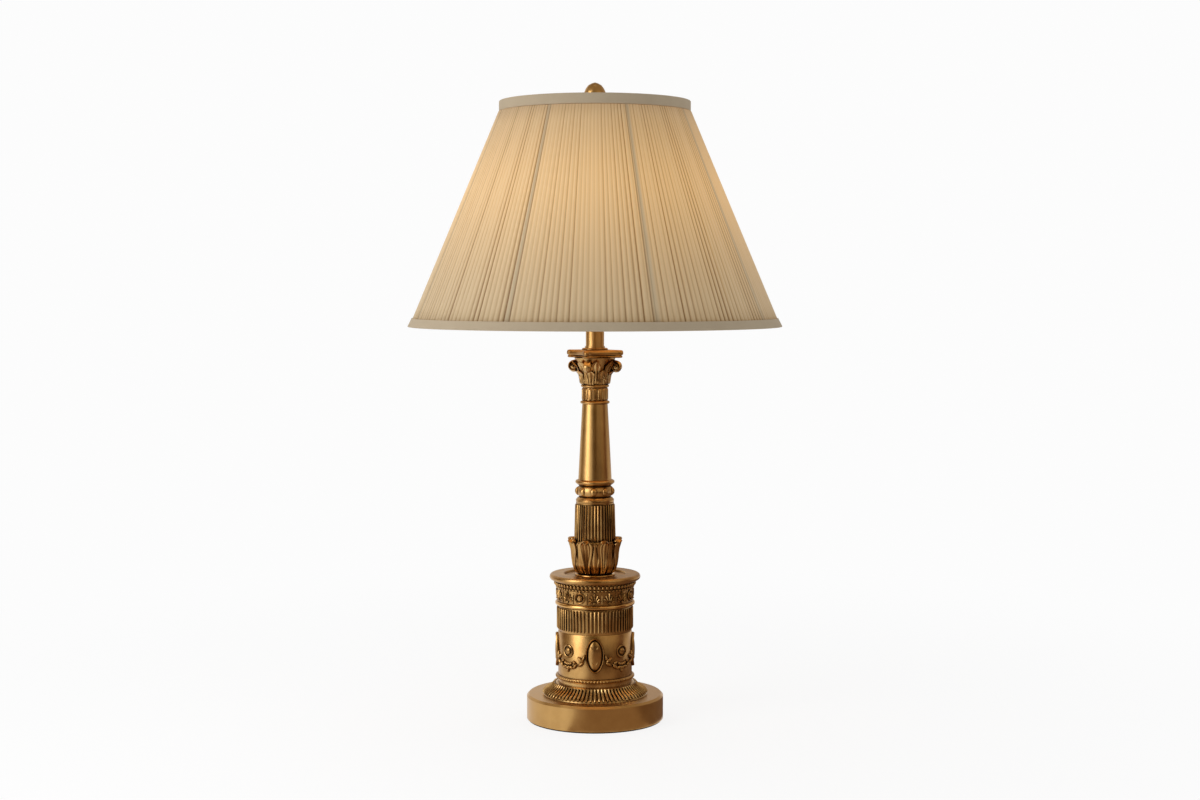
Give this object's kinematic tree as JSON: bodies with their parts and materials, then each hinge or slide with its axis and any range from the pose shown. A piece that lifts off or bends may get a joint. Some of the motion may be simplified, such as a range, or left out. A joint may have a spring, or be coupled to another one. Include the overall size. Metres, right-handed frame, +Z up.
{
  "type": "table lamp",
  "caption": "Classical table lamp: cast brass column on a round weighted foot, with socket, harp, pleated cone shade and acorn finial",
  "frame": {"origin": "middle of the felt's underside, where the lamp stands", "axes": "+Z up along the column, X along the harp's plane, -Y the front, where the switch knob points"},
  "size_m": [0.4063, 0.4064, 0.6955],
  "materials": {
    "antique_brass": "cast, satin, dark patina in the hollows",
    "satin_brass": "satin, lightly brushed",
    "bright_brass": "polished",
    "felt": "napped felt",
    "cast_iron": "rough cast",
    "zinc_steel": "zinc plated",
    "black_plastic": "moulded",
    "fibre_card": "matt",
    "frosted_glass": "frosted",
    "wire_enamel": "white enamel",
    "shade_lining": "plain lining cloth",
    "shade_cloth": "pleated cloth",
    "shade_trim": "folded tape"
  },
  "bodies": {
    "stand": {"felt_pad": "felt", "foot_disc": "satin_brass", "foot_weight": "cast_iron", "cord_bushing": "black_plastic", "pipe_washer": "zinc_steel", "pipe_nut": "zinc_steel", "lamp_pipe": "zinc_steel", "gadroon_skirt": "antique_brass", "bead_ring": "antique_brass", "drum": "antique_brass", "reeded_band": "antique_brass", "band_ring": "antique_brass", "frieze_band": "antique_brass", "cap_dish": "satin_brass", "leaf_cup": "antique_brass", "reeded_sleeve": "antique_brass", "knop": "antique_brass", "tapered_shaft": "satin_brass", "necking_collar": "antique_brass", "capital": "antique_brass", "abacus": "antique_brass", "neck_collar": "satin_brass", "neck_tube": "satin_brass", "harp_saddle": "bright_brass", "harp_bow": "bright_brass", "harp_stud": "bright_brass", "socket_cap": "bright_brass", "socket_shell": "bright_brass", "socket_liner": "fibre_card", "socket_body": "black_plastic", "screw_shell": "bright_brass", "centre_contact": "bright_brass"},
    "ferrule_left": {"ferrule_left": "bright_brass"},
    "ferrule_right": {"ferrule_right": "bright_brass"},
    "switch": {"switch_shaft": "bright_brass", "switch_knob": "black_plastic"},
    "bulb": {"bulb_tip": "black_plastic", "bulb_base": "bright_brass", "bulb_glass": "frosted_glass"},
    "shade": {"shade_spider": "wire_enamel", "shade_top_ring": "wire_enamel", "shade_bottom_ring": "wire_enamel", "shade_ribs": "wire_enamel", "shade_liner": "shade_lining", "shade_cover": "shade_cloth", "shade_trim_top": "shade_trim", "shade_trim_bottom": "shade_trim"},
    "finial": {"finial": "satin_brass"}
  },
  "joints": [
    {"name": "shade_turn", "type": "hinge", "parent": "stand", "child": "shade", "pos_m": [0, 0, 0.6641], "axis": [0, 0, 1], "continuous": true},
    {"name": "finial_turn", "type": "hinge", "parent": "stand", "child": "finial", "pos_m": [0, 0, 0.675], "axis": [0, 0, 1], "continuous": true},
    {"name": "bulb_turn", "type": "hinge", "parent": "stand", "child": "bulb", "pos_m": [0, 0, 0.478], "axis": [0, 0, 1], "continuous": true},
    {"name": "switch_turn", "type": "hinge", "parent": "stand", "child": "switch", "pos_m": [0, -0.029, 0.4575], "axis": [0, -1, 0], "continuous": true},
    {"name": "ferrule_left_slide", "type": "slide", "parent": "stand", "child": "ferrule_left", "axis": [0, 0, 1], "range_m": [0, 0.012]},
    {"name": "ferrule_right_slide", "type": "slide", "parent": "stand", "child": "ferrule_right", "axis": [0, 0, 1], "range_m": [0, 0.012]}
  ]
}
